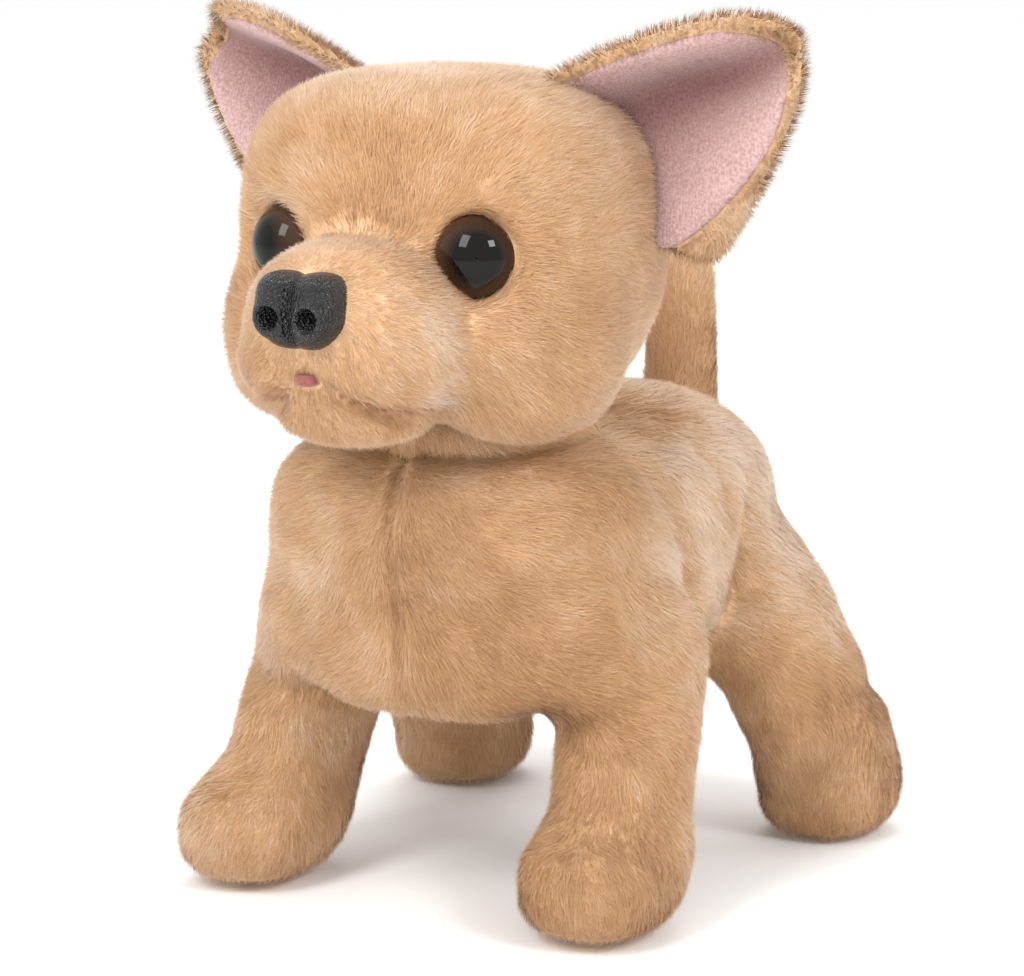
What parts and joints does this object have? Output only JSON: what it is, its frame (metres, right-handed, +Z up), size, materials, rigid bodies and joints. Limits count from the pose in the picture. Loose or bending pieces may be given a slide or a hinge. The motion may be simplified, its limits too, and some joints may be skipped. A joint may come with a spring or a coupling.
{
  "type": "walking plush puppy",
  "caption": "Battery plush puppy on four stubby legs with large upright ears; the legs walk, the head nods and the tail wags.",
  "frame": {"origin": "on the ground under the middle of the object's box", "axes": "the puppy looks towards -Y, its left side is +X, +Z is up"},
  "size_m": [0.1536, 0.1878, 0.1957],
  "materials": {
    "plush": "short plush pile",
    "pink_knit": "brushed knit",
    "eye_black": "polished",
    "nose_black": "pebbled",
    "tongue_pink": "brushed knit",
    "casing_white": "moulded",
    "frame_grey": "moulded",
    "gear_white": "moulded",
    "steel": "plain",
    "cell_green": "printed sleeve",
    "board_green": "solder mask",
    "black_plastic": "moulded"
  },
  "bodies": {
    "torso": {"torso_casing_left": "casing_white", "torso_casing_right": "casing_white", "body_plush_left": "plush", "body_plush_right": "plush", "casing_screw_1": "steel", "casing_screw_2": "steel", "casing_screw_3": "steel", "neck_post": "casing_white", "neck_plush": "plush", "battery_tray": "black_plastic", "battery_cell_left": "cell_green", "battery_cell_right": "cell_green", "battery_spring_left": "steel", "battery_spring_right": "steel", "battery_contact": "steel", "circuit_board": "board_green", "speaker": "black_plastic", "motor": "steel", "gearbox_plate_left": "frame_grey", "gearbox_plate_right": "frame_grey", "front_left_hip_pin": "steel", "front_right_hip_pin": "steel", "hind_left_hip_pin": "steel", "hind_right_hip_pin": "steel"},
    "head": {"head_plush_left": "plush", "head_plush_right": "plush", "head_casing_front": "casing_white", "head_casing_rear": "casing_white", "eye_left": "eye_black", "eye_right": "eye_black", "nose": "nose_black", "tongue": "tongue_pink", "ear_back_left": "plush", "ear_back_right": "plush", "ear_lining_left": "pink_knit", "ear_lining_right": "pink_knit", "neck_yoke": "frame_grey", "neck_pin": "steel"},
    "tail": {"tail_plush": "plush", "tail_lever": "casing_white"},
    "front_left_leg": {"front_left_leg_core": "casing_white", "front_left_leg_plush": "plush"},
    "front_right_leg": {"front_right_leg_core": "casing_white", "front_right_leg_plush": "plush"},
    "hind_left_leg": {"hind_left_leg_core": "casing_white", "hind_left_leg_plush": "plush"},
    "hind_right_leg": {"hind_right_leg_core": "casing_white", "hind_right_leg_plush": "plush"},
    "left_rod": {"drive_rod_left": "frame_grey"},
    "right_rod": {"drive_rod_right": "frame_grey"},
    "crank": {"crank_gear": "gear_white", "crank_shaft": "steel", "crank_disc_left": "gear_white", "crank_disc_right": "gear_white"},
    "reduction": {"reduction_gear": "gear_white"},
    "pinion": {"motor_pinion": "gear_white"},
    "door": {"battery_door": "black_plastic", "battery_door_screw": "steel"},
    "switch": {"power_switch": "black_plastic"},
    "button": {"back_button": "casing_white"}
  },
  "joints": [
    {"name": "front_left_leg_swing", "type": "hinge", "parent": "torso", "child": "front_left_leg", "pos_m": [0.0354, -0.0266, 0.058], "axis": [1, 0, 0], "range_deg": [-10, 10]},
    {"name": "hind_left_leg_swing", "type": "hinge", "parent": "torso", "child": "hind_left_leg", "pos_m": [0.0354, 0.0474, 0.058], "axis": [1, 0, 0], "range_deg": [-10, 10]},
    {"name": "front_right_leg_swing", "type": "hinge", "parent": "torso", "child": "front_right_leg", "pos_m": [-0.0354, -0.0266, 0.058], "axis": [1, 0, 0], "range_deg": [-10, 10]},
    {"name": "hind_right_leg_swing", "type": "hinge", "parent": "torso", "child": "hind_right_leg", "pos_m": [-0.0354, 0.0474, 0.058], "axis": [1, 0, 0], "range_deg": [-10, 10]},
    {"name": "left_rod_slide", "type": "slide", "parent": "torso", "child": "left_rod", "axis": [0, 1, 0], "range_m": [-0.0016, 0.0016]},
    {"name": "right_rod_slide", "type": "slide", "parent": "torso", "child": "right_rod", "axis": [0, 1, 0], "range_m": [-0.0016, 0.0016]},
    {"name": "head_nod", "type": "hinge", "parent": "torso", "child": "head", "pos_m": [0, -0.0226, 0.1215], "axis": [1, 0, 0], "range_deg": [-6, 6]},
    {"name": "tail_wag", "type": "hinge", "parent": "torso", "child": "tail", "pos_m": [0, 0.0614, 0.076], "axis": [0, 1, 0], "range_deg": [-18, 18]},
    {"name": "crank_turn", "type": "hinge", "parent": "torso", "child": "crank", "pos_m": [0, 0.0094, 0.078], "axis": [1, 0, 0], "continuous": true},
    {"name": "reduction_turn", "type": "hinge", "parent": "torso", "child": "reduction", "pos_m": [0, -0.0044, 0.078], "axis": [1, 0, 0], "continuous": true},
    {"name": "motor_turn", "type": "hinge", "parent": "torso", "child": "pinion", "pos_m": [0, -0.0158, 0.078], "axis": [1, 0, 0], "continuous": true},
    {"name": "battery_door_open", "type": "hinge", "parent": "torso", "child": "door", "pos_m": [-0.0194, 0.0094, 0.045], "axis": [0, 1, 0], "range_deg": [0, 80]},
    {"name": "power_switch_slide", "type": "slide", "parent": "torso", "child": "switch", "axis": [1, 0, 0], "range_m": [0, 0.005]},
    {"name": "back_button_press", "type": "slide", "parent": "torso", "child": "button", "axis": [0, 0, -1], "range_m": [0, 0.0008], "stiffness_N_per_m": 1500, "springref_m": -0.0002}
  ],
  "couplings": [
    {"joint": "hind_left_leg_swing", "follows": "front_left_leg_swing", "ratio": 1},
    {"joint": "front_right_leg_swing", "follows": "front_left_leg_swing", "ratio": -1},
    {"joint": "hind_right_leg_swing", "follows": "front_left_leg_swing", "ratio": -1},
    {"joint": "left_rod_slide", "follows": "front_left_leg_swing", "m_per_rad": -0.009},
    {"joint": "right_rod_slide", "follows": "front_left_leg_swing", "m_per_rad": 0.009},
    {"joint": "reduction_turn", "follows": "crank_turn", "ratio": -3.6},
    {"joint": "motor_turn", "follows": "crank_turn", "ratio": 13.5}
  ]
}
